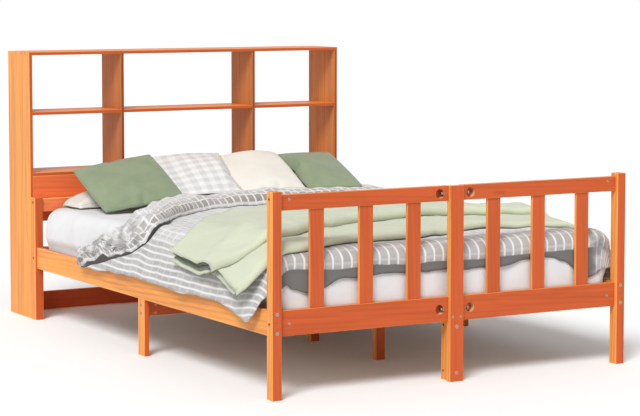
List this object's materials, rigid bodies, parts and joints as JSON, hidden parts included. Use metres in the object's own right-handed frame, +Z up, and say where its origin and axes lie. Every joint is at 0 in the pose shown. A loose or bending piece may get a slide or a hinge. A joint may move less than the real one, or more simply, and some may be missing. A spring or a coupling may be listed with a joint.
{
  "type": "wooden bed",
  "caption": "Double bed of honey-brown pine with a slatted footboard, open bookcase headboard, slatted base, mattress and layered bedding.",
  "frame": {"origin": "middle of the bed's footprint, on the floor", "axes": "+Z up, +Y from the foot end to the bookcase, +X to the right seen from the foot"},
  "size_m": [1.5472, 2.322, 1.114],
  "materials": {
    "pine": "satin wax-brown stain on planed pine",
    "pale_pine": "untreated planed pine",
    "beech": "plain beech dowel",
    "steel": "zinc plated",
    "tape": "woven tape",
    "white_cotton": "fitted cotton sheet",
    "check_cloth": "grey quilted cotton with white window-pane lines",
    "throw_cloth": "light green soft pile",
    "sage_cloth": "sage green woven cotton",
    "gingham_cloth": "pale grey and white gingham",
    "cream_cotton": "cream cotton"
  },
  "bodies": {
    "root": {"barrel_nuts": "steel", "bed_slats": "pale_pine", "bookcase_divider_left": "pine", "bookcase_divider_right": "pine", "bookcase_front_panel": "pine", "bookcase_low_shelf": "pine", "bookcase_shelf_left": "pine", "bookcase_shelf_middle": "pine", "bookcase_shelf_right": "pine", "bookcase_side_left": "pine", "bookcase_side_right": "pine", "bookcase_stretcher": "pine", "bookcase_top": "pine", "centre_beam": "pine", "centre_leg_foot": "pine", "centre_leg_head": "pine", "centre_leg_mid": "pine", "centre_rods": "steel", "check_cover": "check_cloth", "connector_bolts": "steel", "cross_beam": "pine", "cushion_cream": "cream_cotton", "cushion_gingham": "gingham_cloth", "cushion_green_left": "sage_cloth", "cushion_green_right": "sage_cloth", "dowels": "beech", "foot_centre_board": "pine", "foot_centre_leg": "pine", "foot_low_rail_left": "pine", "foot_low_rail_right": "pine", "foot_post_left": "pine", "foot_post_right": "pine", "foot_top_rail_left": "pine", "foot_top_rail_right": "pine", "foot_upright_left_1": "pine", "foot_upright_left_2": "pine", "foot_upright_left_3": "pine", "foot_upright_right_1": "pine", "foot_upright_right_2": "pine", "foot_upright_right_3": "pine", "green_throw": "throw_cloth", "head_centre_board": "pine", "head_low_rail_left": "pine", "head_low_rail_right": "pine", "head_post_left": "pine", "head_post_right": "pine", "head_top_rail_left": "pine", "head_top_rail_right": "pine", "mattress": "white_cotton", "mid_leg_left": "pine", "mid_leg_right": "pine", "pillow_left": "cream_cotton", "pillow_right": "cream_cotton", "rod_nuts": "steel", "side_rail_left": "pine", "side_rail_right": "pine", "slat_batten_left": "pine", "slat_batten_right": "pine", "slat_tapes": "tape", "wood_screws": "steel"}
  },
  "joints": []
}
